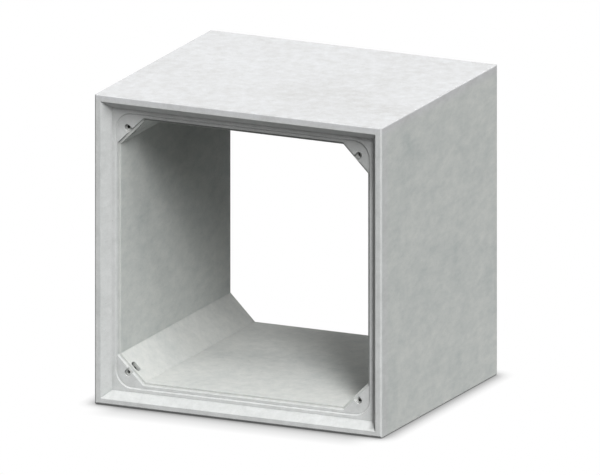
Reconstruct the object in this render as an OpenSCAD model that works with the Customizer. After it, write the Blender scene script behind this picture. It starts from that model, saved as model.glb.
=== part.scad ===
// Precast concrete box culvert unit: a rectangular tube with corner haunches,
// a tapered and stepped joint recess at the front end and a plain butt end at the back.
// Millimetres. +Z is up, the front (recessed) end faces -Y, and the origin is at the
// bottom centre of the unit.

/* [Unit] */
// overall width across the side walls
outer_w = 2800; // [2000:50:4500]
// overall height from the underside to the roof
outer_h = 2838; // [2000:2:4500]
// length of the unit along the waterway
unit_l = 2430; // [1200:5:3000]
// thickness of the two side walls
wall_t = 195; // [185:5:320]
// thickness of the roof slab
roof_t = 222; // [195:1:360]
// thickness of the base slab
base_t = 216; // [195:1:360]
// leg of the 45 degree haunch in each corner of the waterway
haunch_leg = 240; // [205:5:400]
// chamfer round the edge of the roof
roof_arris = 6; // [2:1:25]
// chamfer down the four upright edges
upright_arris = 13; // [4:1:25]
// chamfer along the underside of the two side walls
base_side_arris = 10; // [2:1:25]
// chamfer along the underside of both ends
base_end_arris = 21; // [4:1:30]

/* [Joint recess] */
// width of the flat lip around the front end
lip_w = 61; // [40:1:70]
// depth of the taper behind the lip
taper_d = 96; // [60:2:140]
// width of the flat shelf at the bottom of the taper
shelf_w = 33; // [10:1:36]
// from the walls of the waterway out to the edge of the seal seat
wall_land = 34; // [32:1:50]
// from the floor and ceiling of the waterway out to the edge of the seal seat
slab_land = 61; // [40:1:80]
// how far the seal seat's edge closes in over its depth
seat_draft = 6; // [2:1:8]
// depth of the seal seat below the shelf
seat_d = 12; // [8:1:40]
// corner radius of the seal seat
seat_r = 160; // [80:5:200]

/* [Nosing round the waterway] */
// width of the flat ring round the mouth of the waterway
ring_w = 20; // [8:1:22]
// how far the edge of the ring's recess closes in over its depth
ring_draft = 5; // [2:1:6]
// depth of the ring below the seal seat
ring_d = 31; // [15:1:50]

/* [Corner bolting] */
// diameter of the joint bolt holes
bolt_hole_d = 30; // [18:1:34]
// distance of each bolt hole from the wall face and from the slab face of its corner
bolt_inset = 78; // [60:1:85]
// width of the bay in the haunch end around each bolt hole
bay_w = 60; // [40:2:80]
// depth of the bay below the seal seat
bay_d = 26; // [10:1:60]
// width of each haunch pocket, measured up the slope
pocket_w = 98; // [60:2:120]
// length of each haunch pocket along the waterway
pocket_l = 76; // [50:2:140]
// depth of each haunch pocket, square to the slope
pocket_depth = 94; // [85:1:110]
// corner radius of the haunch pockets
pocket_r = 24; // [5:1:24]
// concrete left between the floor of a bay and its pocket
bolt_web = 26; // [10:1:60]
// bore of the sleeve behind each pocket, in which a bolt slides back before it is pushed home
sleeve_bore_d = 54; // [34:1:60]
// depth of the sleeve
sleeve_depth = 230; // [100:5:400]
// bore of the threaded sockets in the plain back end, which take the next unit's bolts
socket_bore_d = 24; // [12:1:28]
// depth of the threaded sockets
socket_depth = 110; // [60:5:200]

/* [Hidden] */
$fn = 96;
overlap = 1;
bore_w = outer_w - 2 * wall_t;
bore_h = outer_h - roof_t - base_t;
// heights of the underside and of the roof, from the axis of the waterway
underside = -(base_t + bore_h / 2);
top = roof_t + bore_h / 2;
seat_half_w = bore_w / 2 + wall_land;
seat_half_h = bore_h / 2 + slab_land;
seat_y = taper_d + seat_d;
ring_y = seat_y + ring_d;
bay_y = seat_y + bay_d;
pocket_y = bay_y + bolt_web;
// from the centre line of a bolt hole out to the sloping face of its haunch
bolt_cover = (haunch_leg - 2 * bolt_inset) / sqrt(2);
// from the axis of the waterway out to the sloping face of a haunch
haunch_reach = (bore_w / 2 + bore_h / 2 - haunch_leg) / sqrt(2);
concrete = [0.74, 0.75, 0.75];

// A bar along Z that spans low_0 to high_0 along X at y_0, and low_1 to high_1 at y_1.
module tapered_bar(low_0, high_0, low_1, high_1, y_0, y_1, half_len) {
    linear_extrude(height = 2 * half_len, center = true)
        polygon([[low_0, y_0], [high_0, y_0], [high_1, y_1], [low_1, y_1]]);
}

// The same with its middle on the axis of the waterway.
module drafted_bar(half_0, half_1, y_0, y_1, half_len) {
    tapered_bar(-half_0, half_0, -half_1, half_1, y_0, y_1, half_len);
}

// A rectangle with its corners cut off, by low at its near side and by high at its far side.
module cut_rectangle(left, right, near, far, low, high) {
    polygon([
        [left + low, near], [right - low, near], [right, near + low], [right, far - high],
        [right - high, far], [left + high, far], [left, far - high], [left, near + low]
    ]);
}

// The solid block with its chamfers: its outlines from above, from the side and from the end.
module outer_block() {
    half = outer_w / 2;
    intersection() {
        linear_extrude(height = 2 * outer_h, center = true)
            cut_rectangle(-half, half, 0, unit_l, upright_arris, upright_arris);
        rotate([90, 0, 90])
            linear_extrude(height = 2 * outer_w, center = true)
                cut_rectangle(0, unit_l, underside, top, base_end_arris, roof_arris);
        rotate([90, 0, 0])
            linear_extrude(height = 3 * unit_l, center = true)
                cut_rectangle(-half, half, underside, top, base_side_arris, roof_arris);
    }
}

// The waterway's section, grown all round by grow_0 at y_0 and grow_1 at y_1.
module waterway(grow_0, grow_1, y_0, y_1) {
    long_side = outer_w + outer_h;
    intersection() {
        drafted_bar(bore_w / 2 + grow_0, bore_w / 2 + grow_1, y_0, y_1, long_side);
        rotate([0, 90, 0])
            drafted_bar(bore_h / 2 + grow_0, bore_h / 2 + grow_1, y_0, y_1, long_side);
        intersection_for (turn = [45, -45])
            rotate([0, turn, 0])
                drafted_bar(haunch_reach + grow_0, haunch_reach + grow_1, y_0, y_1, long_side);
    }
}

// Where a sloping side that runs from at_0 to at_1 meets the plane just outside the front end.
function run_out(at_0, at_1) = at_0 + (at_0 - at_1) * overlap / taper_d;

// The taper behind the lip, from outside the front end down to the shelf.
module joint_taper() {
    mouth = outer_w / 2 - lip_w;
    mouth_low = underside + lip_w;
    mouth_high = top - lip_w;
    end_w = seat_half_w + shelf_w;
    end_h = seat_half_h + shelf_w;
    intersection() {
        drafted_bar(run_out(mouth, end_w), end_w, -overlap, taper_d, outer_h);
        rotate([0, -90, 0])
            tapered_bar(
                run_out(mouth_low, -end_h), run_out(mouth_high, end_h), -end_h, end_h,
                -overlap, taper_d, outer_w
            );
    }
}

// A quarter of a cone about Y, filling the quadrant +X +Z, from radius r_0 to r_1.
module quarter_cone(r_0, r_1, height) {
    rotate([-90, 0, 0])
        rotate([0, 0, -90])
            rotate_extrude(angle = 90)
                polygon([[0, 0], [r_0, 0], [r_1, height], [0, height]]);
}

// The seal seat: a rounded rectangle that closes in as it goes deeper, from the shelf on.
module seal_seat() {
    drafted_bar(
        seat_half_w, seat_half_w - seat_draft, taper_d, seat_y, seat_half_h - seat_r
    );
    rotate([0, 90, 0])
        drafted_bar(
            seat_half_h, seat_half_h - seat_draft, taper_d, seat_y, seat_half_w - seat_r
        );
    for (side = [0, 1], level = [0, 1])
        mirror([side, 0, 0])
            mirror([0, 0, level])
                translate([seat_half_w - seat_r, taper_d, seat_half_h - seat_r])
                    quarter_cone(seat_r, seat_r - seat_draft, seat_d);
}

// Places its children at the four bolt holes, with their +X towards the waterway's axis.
module at_each_corner() {
    for (side = [-1, 1], level = [-1, 1])
        translate([side * (bore_w / 2 - bolt_inset), 0, level * (bore_h / 2 - bolt_inset)])
            rotate([0, atan2(level, -side), 0])
                children();
}

// The bay around a bolt hole, round at its closed end and open to the waterway.
module bolt_bay() {
    depth = bay_d + overlap;
    translate([0, seat_y - overlap, 0]) {
        rotate([-90, 0, 0]) cylinder(h = depth, d = bay_w);
        translate([0, 0, -bay_w / 2]) cube([bolt_cover + haunch_leg / 2, depth, bay_w]);
    }
}

// The pocket in a haunch's sloping face, where a joint bolt is put in and turned.
module haunch_pocket() {
    depth = pocket_depth + overlap;
    flat_w = pocket_w - 2 * pocket_r;
    flat_l = pocket_l - 2 * pocket_r;
    translate([bolt_cover - pocket_depth, pocket_y + pocket_l / 2, 0]) {
        translate([0, -pocket_l / 2, -flat_w / 2]) cube([depth, pocket_l, flat_w]);
        translate([0, -flat_l / 2, -pocket_w / 2]) cube([depth, flat_l, pocket_w]);
        for (along = [-1, 1], up = [-1, 1])
            translate([0, along * flat_l / 2, up * flat_w / 2])
                rotate([0, 90, 0]) cylinder(h = depth, r = pocket_r);
    }
}

// The bolt hole through the web between bay and pocket.
module bolt_hole() {
    translate([0, bay_y - overlap, 0])
        rotate([-90, 0, 0]) cylinder(h = bolt_web + 2 * overlap, d = bolt_hole_d);
}

// The blind sleeve behind the pocket, in line with the bolt hole.
module bolt_sleeve() {
    translate([0, pocket_y + pocket_l - overlap, 0])
        rotate([-90, 0, 0]) cylinder(h = sleeve_depth + overlap, d = sleeve_bore_d);
}

// The blind socket in the back end that a bolt of the next unit screws into.
module back_socket() {
    translate([0, unit_l - socket_depth, 0])
        rotate([-90, 0, 0]) cylinder(h = socket_depth + overlap, d = socket_bore_d);
}

// The whole casting.
module culvert_unit() {
    ring_slope = ring_draft / ring_d;
    color(concrete)
        translate([0, -unit_l / 2, -underside])
            difference() {
                outer_block();
                waterway(0, 0, taper_d, unit_l + overlap);
                waterway(
                    ring_w + ring_draft + overlap * ring_slope, ring_w,
                    seat_y - overlap, ring_y
                );
                joint_taper();
                seal_seat();
                at_each_corner() {
                    bolt_bay();
                    haunch_pocket();
                    bolt_hole();
                    bolt_sleeve();
                    back_socket();
                }
            }
}

culvert_unit();
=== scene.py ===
# %% [markdown]
# # A precast concrete box culvert
# A box culvert unit is one heavy concrete casting: a rectangular tube that carries a stream
# under a road. Units are laid end to end, so the front end has a stepped recess for a rubber
# seal, and each corner of the joint has a bolt hole, with a pocket behind it in the haunch
# where the bolt is put in and turned.
#
# The shape was worked out in CAD first. Here it is loaded as a fixed frame, copied, given the
# soft edges and the skin of real concrete, and put in plain studio light. All lengths are in
# metres, +Z is up, and the recessed front end faces -Y.

# %% Load the frame
import math

import bmesh
import bpy
from mathutils import Euler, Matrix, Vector


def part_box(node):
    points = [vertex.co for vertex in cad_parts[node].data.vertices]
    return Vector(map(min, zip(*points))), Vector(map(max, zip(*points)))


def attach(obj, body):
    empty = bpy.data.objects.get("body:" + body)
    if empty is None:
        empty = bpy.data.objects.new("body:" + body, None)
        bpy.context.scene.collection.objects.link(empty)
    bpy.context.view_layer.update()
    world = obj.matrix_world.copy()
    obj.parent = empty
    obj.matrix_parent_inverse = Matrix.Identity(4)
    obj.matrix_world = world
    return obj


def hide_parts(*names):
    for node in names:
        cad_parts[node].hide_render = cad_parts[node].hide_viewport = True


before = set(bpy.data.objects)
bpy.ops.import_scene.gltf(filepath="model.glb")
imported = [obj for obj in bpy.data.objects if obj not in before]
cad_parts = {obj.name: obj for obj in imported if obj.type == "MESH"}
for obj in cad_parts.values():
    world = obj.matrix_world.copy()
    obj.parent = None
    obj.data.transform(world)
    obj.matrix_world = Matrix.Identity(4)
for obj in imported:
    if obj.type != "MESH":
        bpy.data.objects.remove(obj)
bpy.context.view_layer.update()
casting_low, casting_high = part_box("culvert_unit")
unit_size = casting_high - casting_low
scene = bpy.context.scene
print("casting is", [round(side, 3) for side in unit_size], "metres")

# %% [markdown]
# ## The camera
# A catalogue view of a large box uses parallel projection, so that edges which are parallel
# on the real unit stay parallel. Blender calls this an orthographic camera: its distance no
# longer changes the size of things, and ortho_scale says how many metres the view is wide.
# The camera turns 25 degrees to the right of the front and looks down by 15 degrees.

# %% Camera
CAMERA_TURN = math.radians(25)
CAMERA_DROP = math.radians(15)
VIEW_WIDTH = 5.3046
CAMERA_DISTANCE = 14.0
# where the middle of the view lies, measured to the right and upwards in the view itself
VIEW_RIGHT = 0.0354
VIEW_UP = 1.3432

camera_turn = Euler((math.radians(90) - CAMERA_DROP, 0.0, CAMERA_TURN))
view_right = camera_turn.to_matrix() @ Vector((1, 0, 0))
view_up = camera_turn.to_matrix() @ Vector((0, 1, 0))
view_back = camera_turn.to_matrix() @ Vector((0, 0, 1))

camera_data = bpy.data.cameras.new("catalogue_camera")
camera_data.type = "ORTHO"
camera_data.ortho_scale = VIEW_WIDTH
camera_data.clip_start = 0.1
camera_data.clip_end = 60.0
camera = bpy.data.objects.new("catalogue_camera", camera_data)
camera.rotation_euler = camera_turn
camera.location = view_right * VIEW_RIGHT + view_up * VIEW_UP + view_back * CAMERA_DISTANCE
scene.collection.objects.link(camera)
scene.camera = camera
print("camera stands at", [round(place, 2) for place in camera.location])

# %% [markdown]
# ## Light
# The unit is lit by a tall soft bank of lamps in front and to the right, which bends over the
# roof as it rises. The low lamps reach deep into the tube and the high ones make the roof the
# brightest face. Sun lamps do this well: their rays are parallel, so a large unit is lit evenly,
# and each lamp's angle sets how soft its shadows are. A weak lamp behind keeps the far side
# from going black.

# %% Lamps
# azimuth from the front towards the right and elevation in degrees, strength, softness in degrees
LAMP_BANK = {
    "bank_low": (39, 32, 0.30, 14),
    "bank_lower_middle": (39, 42, 0.48, 14),
    "bank_middle": (38, 54, 0.22, 16),
    "bank_upper_middle": (39, 62, 0.22, 14),
    "bank_side": (50, 60, 0.07, 18),
    "bank_high": (66, 71, 0.44, 30),
    "back_fill": (-150, 45, 0.20, 60),
}
# a sun shines alike from anywhere, so the lamps only have to stand clear of the unit
LAMP_DISTANCE = 8.0


def add_lamp(name, azimuth, elevation, strength, softness):
    """A sun lamp that shines towards the unit from that side of it."""
    turn = math.radians(azimuth)
    rise = math.radians(elevation)
    towards = Vector((
        math.sin(turn) * math.cos(rise), -math.cos(turn) * math.cos(rise), math.sin(rise),
    ))
    lamp_data = bpy.data.lights.new(name, "SUN")
    lamp_data.energy = strength * math.pi
    lamp_data.angle = math.radians(softness)
    lamp = bpy.data.objects.new(name, lamp_data)
    lamp.rotation_euler = towards.to_track_quat("Z", "Y").to_euler()
    lamp.location = towards * LAMP_DISTANCE
    scene.collection.objects.link(lamp)


for name, settings in LAMP_BANK.items():
    add_lamp(name, *settings)
scene.view_settings.view_transform = "Standard"
print(len(LAMP_BANK), "lamps:", ", ".join(LAMP_BANK))

# %% [markdown]
# ## Writing shader maths as sums
# A material is a net of nodes, and wiring each Add and Multiply node by hand is slow to read.
# This small class wraps one output socket. Python's own + - * / on it add the Math nodes, so a
# pattern can be written as a formula, and node() makes any other kind of node: its settings
# come first, and then the values or links of its input sockets.

# %% Socket wrapper
class Wire:
    """One output socket of a shader node that can be used in sums."""

    def __init__(self, tree, socket):
        self.tree = tree
        self.socket = socket

    def node(self, kind, settings=None, inputs=None, output=0):
        """Makes a node, sets it up, joins its inputs and returns the output asked for."""
        made = self.tree.nodes.new(kind)
        for name, value in (settings or {}).items():
            setattr(made, name, value)
        for name, value in (inputs or {}).items():
            if isinstance(value, Wire):
                self.tree.links.new(value.socket, made.inputs[name])
            else:
                made.inputs[name].default_value = value
        return Wire(self.tree, made.outputs[output] if made.outputs else None)

    def output(self, which):
        """Another output of the node that this wire comes from."""
        return Wire(self.tree, self.socket.node.outputs[which])

    def math(self, operation, *values):
        """A Math node on numbers or wires."""
        return self.node("ShaderNodeMath", {"operation": operation}, dict(enumerate(values)))

    def __add__(self, other):
        return self.math("ADD", self, other)

    def __radd__(self, other):
        return self.math("ADD", other, self)

    def __sub__(self, other):
        return self.math("SUBTRACT", self, other)

    def __rsub__(self, other):
        return self.math("SUBTRACT", other, self)

    def __mul__(self, other):
        return self.math("MULTIPLY", self, other)

    def __rmul__(self, other):
        return self.math("MULTIPLY", other, self)

    def __truediv__(self, other):
        return self.math("DIVIDE", self, other)

    def __rtruediv__(self, other):
        return self.math("DIVIDE", other, self)

    def stretched(self, x, y, z):
        """A place in space with each axis multiplied, through Vector Math."""
        settings = {"operation": "MULTIPLY"}
        return self.node("ShaderNodeVectorMath", settings, {0: self, 1: (x, y, z)})

    def step_up(self, start, end):
        """0 below start, 1 above end and a smooth rise between them."""
        settings = {"interpolation_type": "SMOOTHSTEP"}
        inputs = {"Value": self, "From Min": start, "From Max": end}
        return self.node("ShaderNodeMapRange", settings, inputs)

    def step_down(self, start, end):
        """1 below start, 0 above end and a smooth fall between them."""
        return 1 - self.step_up(start, end)

    def noise(self, scale, detail=2.0, roughness=0.5, seed=0.0):
        """Soft random clouds, about 1 / scale metres across, read at this place."""
        inputs = {
            "Vector": self, "W": seed, "Scale": scale, "Detail": detail, "Roughness": roughness,
        }
        return self.node("ShaderNodeTexNoise", {"noise_dimensions": "4D"}, inputs)

    def blend_place(self, low, high):
        """A place that goes from low to high as this number goes from 0 to 1."""
        settings = {"data_type": "VECTOR"}
        return self.node("ShaderNodeMix", settings, {0: self, 4: low, 5: high}, output=1)

    def blend_colour(self, low, high):
        """A colour that goes from low to high as this number goes from 0 to 1."""
        settings = {"data_type": "RGBA", "clamp_factor": True}
        inputs = {0: self, 6: low, 7: high}
        return self.node("ShaderNodeMix", settings, inputs, output=2)


print("sums of sockets make Math nodes")

# %% [markdown]
# ## The world
# The world is what shows where nothing stands. It has to be pure white there, as in a catalogue,
# and yet a white world would flood the tube with light. So a Mix Shader asks each ray what it
# is: rays from the camera find white, and rays that carry light find a weak even glow, which
# only keeps the deepest corners from going black.

# %% World
WORLD_LEVEL = 0.06
PLAIN_WHITE = (1, 1, 1, 1)


def empty_tree(owner):
    """Clears a material's or the world's nodes and returns a wire to start from."""
    owner.use_nodes = True
    owner.node_tree.nodes.clear()
    return Wire(owner.node_tree, None)


def seen_directly(start):
    """1 for rays from the camera, a mirror or glass, and 0 for rays that carry light."""
    camera_ray = start.node("ShaderNodeLightPath", output="Is Camera Ray")
    glossy_ray = start.node("ShaderNodeLightPath", output="Is Glossy Ray")
    glass_ray = start.node("ShaderNodeLightPath", output="Is Transmission Ray")
    return start.math("MAXIMUM", camera_ray, start.math("MAXIMUM", glossy_ray, glass_ray))


world = bpy.data.worlds.new("studio")
scene.world = world
start = empty_tree(world)
dim_world = start.node(
    "ShaderNodeBackground", None, {"Color": PLAIN_WHITE, "Strength": WORLD_LEVEL}
)
white_world = start.node("ShaderNodeBackground", None, {"Color": PLAIN_WHITE, "Strength": 1.0})
world_mix = start.node(
    "ShaderNodeMixShader", None, {0: seen_directly(start), 1: dim_world, 2: white_world}
)
start.node("ShaderNodeOutputWorld", None, {"Surface": world_mix})
print("the world shows white and lights at", WORLD_LEVEL)

# %% [markdown]
# ## The floor
# The floor is white to the camera, so it runs into the white world without an edge. Where the
# unit stands on it, less light gets in under the wall, and an Ambient Occlusion node measures
# that: it is the narrow soft shadow that seats the unit. The open end has a low sill and a deep
# hollow behind it, which take light from the floor from further off, so a wide band of shade is
# added in front, between the walls, and a narrow one all round. Both fade with the distance from
# the foot of the unit. For rays that carry light the floor is a dim grey, so that it doesn't
# throw light up into the tube.

# %% Bands of shade
# how far the bands reach from the foot of the unit, and how dark they start
FRONT_REACH = 0.37
FRONT_SHADE = 0.35
SIDE_REACH = 0.08
SIDE_SHADE = 0.13
# over what length the front band comes in under the sill, and in from each wall
SILL_BLEND = 0.10
WALL_BLEND = 0.30

floor_material = bpy.data.materials.new("studio_floor")
start = empty_tree(floor_material)
floor_place = start.node("ShaderNodeTexCoord", output=3)
floor_parts = start.node("ShaderNodeSeparateXYZ", None, {0: floor_place})
floor_along = floor_parts.output(1)
from_middle = start.math("ABSOLUTE", floor_parts)
beside = start.math("MAXIMUM", from_middle - unit_size.x / 2, 0)
ahead = start.math("MAXIMUM", casting_low.y - floor_along, 0)
behind = start.math("MAXIMUM", floor_along - casting_high.y, 0)
before_sill = (casting_low.y + SILL_BLEND - floor_along).step_up(0, SILL_BLEND)
between_walls = (unit_size.x / 2 - from_middle).step_up(0, WALL_BLEND)


def fading_band(away, reach):
    """1 at the foot of the unit, down to 0 at the reach."""
    return start.math("MAXIMUM", 1 - away / reach, 0)


front_shade = fading_band(ahead, FRONT_REACH) * before_sill * between_walls * FRONT_SHADE
past_end = ahead + behind
away_from_foot = start.math("SQRT", beside * beside + past_end * past_end)
side_shade = fading_band(away_from_foot, SIDE_REACH) * SIDE_SHADE
print("shade reaches", FRONT_REACH, "m in front and", SIDE_REACH, "m elsewhere")

# %% Floor
CONTACT_REACH = 0.17
PLAIN_BLACK = (0, 0, 0, 1)
FLOOR_GREY = (0.18, 0.18, 0.18, 1)
FLOOR_HALF = 14.0

open_sky = start.node(
    "ShaderNodeAmbientOcclusion", {"samples": 16}, {"Distance": CONTACT_REACH}, output=1
)
floor_tone = open_sky * (1 - start.math("MAXIMUM", front_shade, side_shade))
floor_colour = floor_tone.blend_colour(PLAIN_BLACK, PLAIN_WHITE)
shown_floor = start.node("ShaderNodeEmission", None, {"Color": floor_colour, "Strength": 1.0})
lit_floor = start.node("ShaderNodeBsdfDiffuse", None, {"Color": FLOOR_GREY})
floor_mix = start.node(
    "ShaderNodeMixShader", None, {0: seen_directly(start), 1: lit_floor, 2: shown_floor}
)
start.node("ShaderNodeOutputMaterial", None, {"Surface": floor_mix})

floor_mesh = bpy.data.meshes.new("studio_floor")
floor_corners = [
    (-FLOOR_HALF, -FLOOR_HALF, 0), (FLOOR_HALF, -FLOOR_HALF, 0),
    (FLOOR_HALF, FLOOR_HALF, 0), (-FLOOR_HALF, FLOOR_HALF, 0),
]
floor_mesh.from_pydata(floor_corners, [], [(0, 1, 2, 3)])
floor = bpy.data.objects.new("studio_floor", floor_mesh)
floor.data.materials.append(floor_material)
scene.collection.objects.link(floor)
print("floor is", 2 * FLOOR_HALF, "metres square")

# %% [markdown]
# ## The casting
# The CAD solid arrives as loose triangles. A copy of it is merged into one closed skin, and
# the triangles that lie in one plane are dissolved into the flat faces of the mould.

# %% Merge the casting
MERGE_DISTANCE = 0.00002
FLAT_ANGLE = math.radians(0.3)

skin = bmesh.new()
skin.from_mesh(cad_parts["culvert_unit"].data)
bmesh.ops.remove_doubles(skin, verts=skin.verts, dist=MERGE_DISTANCE)
bmesh.ops.dissolve_limit(skin, angle_limit=FLAT_ANGLE, verts=skin.verts, edges=skin.edges)
print("casting has", len(skin.faces), "faces,",
      sum(not edge.is_manifold for edge in skin.edges), "open edges")

# %% [markdown]
# ## Arrises
# An arris is the edge where two faces meet. Concrete never fills a mould's corner to a knife
# edge, so each one is rounded by a few millimetres, and the round catches a thin line of
# light. A Bevel modifier does it, with a weight on each edge: where two steps lie close
# together the weight is smaller, so that their rounds don't run into each other.

# %% Find the arrises
ARRIS_ROUND = 0.003
ARRIS_ANGLE = math.radians(20)
# share of the gap to the next edge that a round may take up
GAP_SHARE = 0.4
# a gap that leaves the round whole, for an edge with no other near it
WIDE_GAP = 1.0


def gap_between(first, second):
    """The smallest distance between two edges, from their ends and the first one's middle."""
    a, b = (vert.co for vert in first.verts)
    c, d = (vert.co for vert in second.verts)
    gaps = []
    for p, (q, r) in [(a, (c, d)), (b, (c, d)), ((a + b) / 2, (c, d)), (c, (a, b)), (d, (a, b))]:
        along = r - q
        share = max(0.0, min(1.0, (p - q).dot(along) / along.length_squared))
        gaps.append((p - q - along * share).length)
    return min(gaps)


weights = skin.edges.layers.float.new("bevel_weight_edge")
arrises = {edge for edge in skin.edges if edge.calc_face_angle(0) > ARRIS_ANGLE}
for edge in arrises:
    gap = WIDE_GAP
    for face in edge.link_faces:
        for other in face.edges:
            if other in arrises and not set(other.verts) & set(edge.verts):
                gap = min(gap, gap_between(edge, other))
    edge[weights] = min(1.0, GAP_SHARE * gap / ARRIS_ROUND)
print("arrises found:", len(arrises))

# %% Round the arrises
ARRIS_STEPS = 3

for face in skin.faces:
    face.smooth = True
casting_mesh = bpy.data.meshes.new("concrete_casting")
skin.to_mesh(casting_mesh)
skin.free()
casting = bpy.data.objects.new("concrete_casting", casting_mesh)
scene.collection.objects.link(casting)

bevel = casting.modifiers.new("arris_rounds", "BEVEL")
bevel.limit_method = "WEIGHT"
bevel.width = ARRIS_ROUND
bevel.segments = ARRIS_STEPS
bevel.use_clamp_overlap = False
even = casting.modifiers.new("even_normals", "WEIGHTED_NORMAL")
even.mode = "FACE_AREA"
even.weight = 100
even.keep_sharp = False
print("arrises rounded by", ARRIS_ROUND * 1000, "mm in", ARRIS_STEPS, "steps")

# %% [markdown]
# ## Where a point lies and which way it faces
# Much of what follows depends on the place: rain reaches one face and not the next. Object
# coordinates give each point's place on the casting in metres, and Geometry gives the way its
# face looks. Splitting both into their parts once lets the later steps ask for them by name.

# %% Place and direction
# how far a face must turn one way, out of 1, before it starts to count and before it does
FACING_FRONT = (0.6, 0.9)
FACING_DOWN = (0.3, 0.6)
FACING_SIDE = (0.75, 0.85)

concrete = bpy.data.materials.new("precast_concrete")
start = empty_tree(concrete)
place = start.node("ShaderNodeTexCoord", output=3)
place_parts = start.node("ShaderNodeSeparateXYZ", None, {0: place})
across = place_parts.output(0)
along = place_parts.output(1)
height = place_parts.output(2)
joint_depth = along - casting_low.y
from_right = casting_high.x - across
from_top = casting_high.z - height

facing = start.node("ShaderNodeNewGeometry", output=1)
facing_parts = start.node("ShaderNodeSeparateXYZ", None, {0: facing})
facing_up = facing_parts.output(2)
on_joint = (-1 * facing_parts.output(1)).step_up(*FACING_FRONT)
on_underside = (-1 * facing_up).step_up(*FACING_DOWN)
on_side_wall = start.math("ABSOLUTE", facing_parts.output(0)).step_up(*FACING_SIDE)
print("places and directions split into their parts")

# %% [markdown]
# ## The colour of the concrete
# Precast concrete is poured into a steel mould, so its skin is smooth and close, and yet its
# grey is never even. Large soft clouds come from the mix and the way it dried, darker smudges
# from mould oil and damp, and a fine mottle from the sand. Each is a Noise Texture of its own
# size. They all read Object coordinates, so a pattern runs on round a corner without a seam.
# Streaks run downwards because water does: there the height is squeezed before it is read.
# The mould's tall side plates are wiped lengthways with oil, so on the side walls the mottle
# is drawn out along the unit in the same way.

# %% Patterns of the concrete
# a place is squeezed by these before its noise is read: lengthways on a side wall for the
# mottle, and in height for smudges and streaks
WIPE_SQUEEZE = 0.5
SMUDGE_SQUEEZE = 0.8
STREAK_SQUEEZE = 0.45
# how much of a smudge is there between its streaks
SMUDGE_BASE = 0.35
# the values of a noise between which smudges and their streaks fade in
SPOT_EDGE = (0.52, 0.70)
STREAK_EDGE = (0.36, 0.64)
# the average of a noise, taken off so that the pattern lightens as much as it darkens
NOISE_MIDDLE = 0.5

wiped_place = on_side_wall.blend_place(place, place.stretched(1, WIPE_SQUEEZE, 1))
smudge_place = place.stretched(1, 1, SMUDGE_SQUEEZE)
streak_place = place.stretched(1, 1, STREAK_SQUEEZE)
clouds = place.noise(scale=1.3, detail=3.0, seed=1.0) - NOISE_MIDDLE
smudge_spots = smudge_place.noise(scale=1.9, seed=2.0).step_up(*SPOT_EDGE)
smudge_streaks = streak_place.noise(scale=9.0, detail=3.0, seed=3.0).step_up(*STREAK_EDGE)
smudges = smudge_spots * (SMUDGE_BASE + smudge_streaks * (1 - SMUDGE_BASE))
mottle = wiped_place.noise(scale=11.0, detail=3.0, roughness=0.75, seed=4.0) - NOISE_MIDDLE
grain = place.noise(scale=85.0, roughness=0.6, seed=5.0) - NOISE_MIDDLE
print("patterns: clouds, smudges, mottle and grain")

# %% [markdown]
# ## Air holes
# Small bubbles stay caught against the mould and leave round pits of a few millimetres. A
# Voronoi Texture scatters one point in each of its cells, and the distance to it draws a pit.
# A random number for each cell makes most pits tiny and leaves many cells without one.

# %% Air holes
PITS_PER_METRE = 26.0
# radius of the largest pit, and share of the cells that stay without one
LARGEST_PIT = 0.0035
EMPTY_CELLS = 0.45
# width of a pit's soft rim, as a share of a cell
PIT_RIM = 0.02

pit_distance = start.node(
    "ShaderNodeTexVoronoi", None, {"Vector": place, "Scale": PITS_PER_METRE}
)
pit_chance = start.node("ShaderNodeSeparateColor", None, {0: pit_distance.output(1)})
pit_size = (pit_chance - EMPTY_CELLS) / (1 - EMPTY_CELLS)
pits = (pit_size * LARGEST_PIT * PITS_PER_METRE - pit_distance).step_up(0, PIT_RIM)
print("air holes up to", LARGEST_PIT * 1000, "mm in radius")

# %% [markdown]
# ## Painted shade in creases, holes and pockets
# Shade is painted into the colour in creases and above all in the bolt holes and pockets. An
# Ambient
# Occlusion node that only looks at the casting itself tells how enclosed a point is. With a short
# reach it finds the creases, which are painted a little darker, and inside the narrow bolt holes
# it finds next to no opening, so these are painted almost black. With a longer reach it finds the
# depth of the pockets, which are painted darker too. On a pocket's floor the painted shade grows
# with the distance beyond the haunch's sloping face.

# %% Painted shade in creases and holes
CREASE_REACH = 0.035
CREASE_SHADE = 0.50
HOLE_SHADE = 0.90
POCKET_REACH = 0.15
POCKET_SHADE = 0.70
# how enclosed a point must be for the painted shade of holes and pockets to start, and to be
# darkest
HOLE_EDGE = (0.55, 0.80)
POCKET_EDGE = (0.56, 0.90)


def enclosed_within(reach):
    """0 on an open face, 0.5 in a square corner and towards 1 deep inside a hole."""
    settings = {"samples": 8, "only_local": True}
    return 1 - start.node("ShaderNodeAmbientOcclusion", settings, {"Distance": reach}, output=1)


enclosed = enclosed_within(CREASE_REACH)
in_hole = enclosed.step_up(*HOLE_EDGE)
in_pocket = enclosed_within(POCKET_REACH).step_up(*POCKET_EDGE)
# painted shade: creases, bolt holes and pockets are darkened by how enclosed they are
painted_shade = enclosed * CREASE_SHADE + in_hole * HOLE_SHADE + in_pocket * POCKET_SHADE
print("dirt in creases within", CREASE_REACH, "m and in pockets within", POCKET_REACH, "m")

# %% Painted shade on the pockets' floors
# thickness of the walls and slabs, and the leg of each haunch
SIDE_WALL = 0.195
ROOF_SLAB = 0.222
BASE_SLAB = 0.216
HAUNCH_LEG = 0.240
POCKET_FLOOR_SHADE = 0.60
# distance beyond the haunch's face, across plus up, where the pockets' painted shade starts to
# deepen and where it is darkest
POCKET_FLOOR_RISE = (0.08, 0.12)

waterway_half_w = unit_size.x / 2 - SIDE_WALL
waterway_half_h = (unit_size.z - ROOF_SLAB - BASE_SLAB) / 2
waterway_middle = casting_low.z + BASE_SLAB + waterway_half_h
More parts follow.
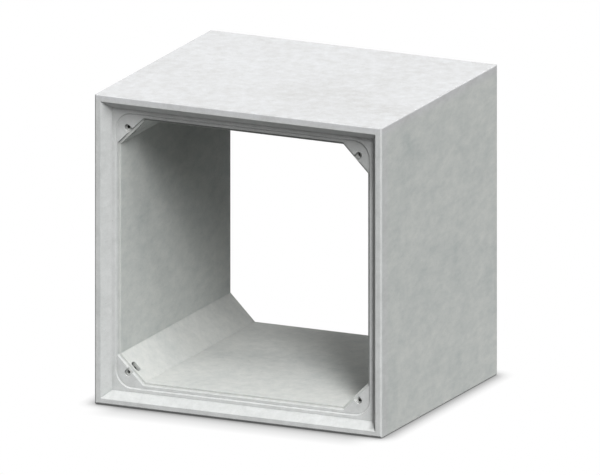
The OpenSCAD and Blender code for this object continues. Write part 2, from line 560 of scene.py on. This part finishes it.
# across plus up from the middle of the waterway to the sloping face of any haunch
haunch_reach = waterway_half_w + waterway_half_h - HAUNCH_LEG

out_from_middle = start.math("ABSOLUTE", across) + start.math("ABSOLUTE", height - waterway_middle)
# painted shade: deeper in a pocket, further from the haunch's face, it is darker still
painted_shade = painted_shade + in_pocket * (out_from_middle - haunch_reach).step_up(*POCKET_FLOOR_RISE) * POCKET_FLOOR_SHADE
print("waterway", round(2 * waterway_half_w, 3), "by", round(2 * waterway_half_h, 3), "m")

# %% [markdown]
# ## Painted shade under the joint's lips
# The parts of the joint under its top lip and beside its right lip are painted darker, as the
# shade that the lips cast there. Painting it by hand would need an image. Here the place of a
# point says
# how much shade is painted on it: step_up() and step_down() turn a distance into a soft edge, and
# where several are multiplied the shade fades out each way.

# %% Painted shade in the joint
LIP_SHADE = 0.38
CORNER_SHADE = 0.34
BESIDE_LIP_SHADE = 0.24
# each pair below is where a soft edge starts and ends, and these two are depths in the joint
JOINT_MOUTH = (0.005, 0.03)
JOINT_BOTTOM = (0.14, 0.18)
# in from the outer skin of the roof and of the right wall, which gets no painted shade
OUTER_SKIN = (0.02, 0.05)
# down from the roof: the joint's upper steps, which have half the painted shade, and the fade
# below them
UPPER_STEPS = (0.14, 0.18)
LIP_FADE = (0.21, 0.38)
# across the unit: on the far left the painted shade has half its strength
LEFT_FADE = (-1.15, -0.75)
# the upper right corner's fades, in from the right and down from the roof
CORNER_IN = (0.25, 0.50)
CORNER_DOWN = (0.39, 0.84)
# in from the right: the fade beside the right lip
SIDE_FADE = (0.10, 0.16)


def from_half(amount):
    """Half at 0 and all at 1."""
    return 0.5 + amount * 0.5


in_joint = joint_depth.step_up(*JOINT_MOUTH) * joint_depth.step_down(*JOINT_BOTTOM)
in_joint = in_joint * from_right.step_up(*OUTER_SKIN) * from_top.step_up(*OUTER_SKIN)
under_lip = from_top.step_down(*LIP_FADE) * from_half(from_top.step_up(*UPPER_STEPS))
under_lip = on_joint * under_lip * from_half(across.step_up(*LEFT_FADE))
upper_corner = from_right.step_down(*CORNER_IN) * from_top.step_down(*CORNER_DOWN)
beside_lip = from_right.step_down(*SIDE_FADE)
# painted shade: under the top lip, in the upper right corner and beside the right lip
joint_shade = start.math("MAXIMUM", under_lip * LIP_SHADE, upper_corner * CORNER_SHADE)
joint_shade = start.math("MAXIMUM", joint_shade, beside_lip * BESIDE_LIP_SHADE)
painted_shade = painted_shade + joint_shade * in_joint * (1 - on_underside)
print("dust in the joint down to", LIP_FADE[1], "m below the roof")

# %% [markdown]
# ## Painted shade in the waterway
# The upper half of the waterway's walls and ceiling is painted darker, further in from the mouth,
# as shade. The mouth gets none. The shade is made in the same way, but its edge slopes: it lies
# further in where the wall is lower.

# %% Painted shade in the waterway
WATERWAY_SHADE = 0.32
# just past the walls' and the ceiling's faces, so that the end faces get no painted shade
WALL_EDGE = (0.005, 0.025)
CEILING_EDGE = (-0.022, -0.002)
# where the painted shade starts and is darkest: up from the underside, and for along and height
# together
SHADE_RISE = (1.45, 2.15)
INWARD_RISE = (1.6, 2.4)

within_walls = (start.math("ABSOLUTE", across) - waterway_half_w).step_down(*WALL_EDGE)
below_ceiling = (from_top - ROOF_SLAB).step_up(*CEILING_EDGE)
upper_half = within_walls * below_ceiling * height.step_up(*SHADE_RISE)
# painted shade: the upper part of the waterway darkens further in
painted_shade = painted_shade + upper_half * (along + height).step_up(*INWARD_RISE) * WATERWAY_SHADE
print("dust in the waterway from a height of", SHADE_RISE[0], "m")

# %% [markdown]
# ## Mixing the grey
# The patterns are added up to one number that goes from the damp grey to the dry grey. The
# walls keep the faint green of the cement. The roof, which is trowelled, and the joint, which
# is cast against ground steel, have a finer skin of cement milk with a neutral, bluish grey.
# The joint's forward faces are painted a little paler as well, most of all further in: this is
# painted light. On the floor of the waterway and the slopes beside it dries a thin film of silt,
# which makes the grey a little warmer. The painted shade and the painted dark of the air holes
# then take light away.

# %% Greys of the concrete
DAMP_GREY = (0.382, 0.414, 0.410, 1)
DRY_GREY = (0.596, 0.606, 0.580, 1)
FINE_DAMP = (0.412, 0.408, 0.400, 1)
FINE_DRY = (0.592, 0.603, 0.618, 1)
# dryness of a plain wall, and the painted light that the joint's forward faces have on top at the
# lip and further in
WALL_DRYNESS = 0.54
LIP_PAINTED_LIGHT = 0.16
INNER_PAINTED_LIGHT = 0.11
# how strongly each pattern shows
CLOUD_SHARE = 0.34
SMUDGE_SHARE = 0.20
MOTTLE_SHARE = 1.20
GRAIN_SHARE = 0.50
# how much of the fine skin the walls have near the front end
FRONT_SKIN = 0.55
# depth behind the front end: where the joint's inner faces start, and where the fine skin ends
INNER_DEPTH = (0.05, 0.09)
FINE_DEPTH = (0.10, 0.16)
# down from the roof: where its fine skin ends
ROOF_DEPTH = (0.01, 0.12)

# painted light: the joint's forward faces are made paler
joint_painted_light = on_joint * (LIP_PAINTED_LIGHT + joint_depth.step_up(*INNER_DEPTH) * INNER_PAINTED_LIGHT)
dryness = (
    WALL_DRYNESS + joint_painted_light + clouds * CLOUD_SHARE - smudges * SMUDGE_SHARE
    + mottle * MOTTLE_SHARE + grain * GRAIN_SHARE
)
on_roof = from_top.step_down(*ROOF_DEPTH)
near_front = joint_depth.step_down(*FINE_DEPTH)
fine_skin = start.math("MAXIMUM", on_roof, near_front * FRONT_SKIN)
wall_grey = dryness.blend_colour(DAMP_GREY, DRY_GREY)
fine_grey = dryness.blend_colour(FINE_DAMP, FINE_DRY)
clean_grey = fine_skin.blend_colour(wall_grey, fine_grey)
print("grey from", DAMP_GREY[:3], "to", DRY_GREY[:3])

# %% Silt, painted shade and air holes
SILT_COLOUR = (0.50, 0.46, 0.44, 1)
SHADE_COLOUR = (0.045, 0.045, 0.042, 1)
SILT_SHARE = 0.15
# how dark the air holes are painted, as shade inside them
PIT_SHADE = 0.5
# how far a face must look up to hold silt
SILT_SLOPE = (0.5, 0.7)

on_floor = facing_up.step_up(*SILT_SLOPE) * (1 - on_roof) * (1 - near_front)
silted_grey = (on_floor * SILT_SHARE).blend_colour(clean_grey, SILT_COLOUR)
# painted shade: the darkening of creases, holes, pockets, joint and waterway, and of the air holes
skin_colour = (painted_shade + pits * PIT_SHADE).blend_colour(silted_grey, SHADE_COLOUR)
print("silt takes", SILT_SHARE, "of the floor's colour")

# %% [markdown]
# ## The feel of the skin
# A mould's skin is matt, a little closer where it is dry and pale and rougher where it is damp
# and where shade is painted on. The bump is small: sand grains of a few hundredths of a
# millimetre, a slight wave of the mould's plates, and the air holes as real hollows of about a
# millimetre.

# %% Relief and roughness
GRAIN_HEIGHT = 0.00025
WAVE_HEIGHT = 0.0006
PIT_DEPTH = 0.0012
DAMP_ROUGHNESS = 0.86
# how much dryness takes away from the roughness, and how much the painted shade adds
DRY_SMOOTHING = 0.10
SHADE_ROUGHENING = 0.10
SKIN_SHINE = 0.3

relief = grain * GRAIN_HEIGHT + mottle * WAVE_HEIGHT - pits * PIT_DEPTH
bump = start.node("ShaderNodeBump", None, {"Strength": 1.0, "Distance": 1.0, "Height": relief})
roughness = DAMP_ROUGHNESS - dryness * DRY_SMOOTHING + painted_shade * SHADE_ROUGHENING
skin_shader = start.node("ShaderNodeBsdfPrincipled", None, {
    "Base Color": skin_colour, "Roughness": roughness, "Specular IOR Level": SKIN_SHINE,
    "Normal": bump,
})
start.node("ShaderNodeOutputMaterial", None, {"Surface": skin_shader})
casting.data.materials.append(concrete)
print("concrete has", len(concrete.node_tree.nodes), "nodes")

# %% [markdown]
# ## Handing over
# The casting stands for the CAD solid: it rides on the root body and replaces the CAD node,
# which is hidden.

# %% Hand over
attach(casting, "root")
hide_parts("culvert_unit")
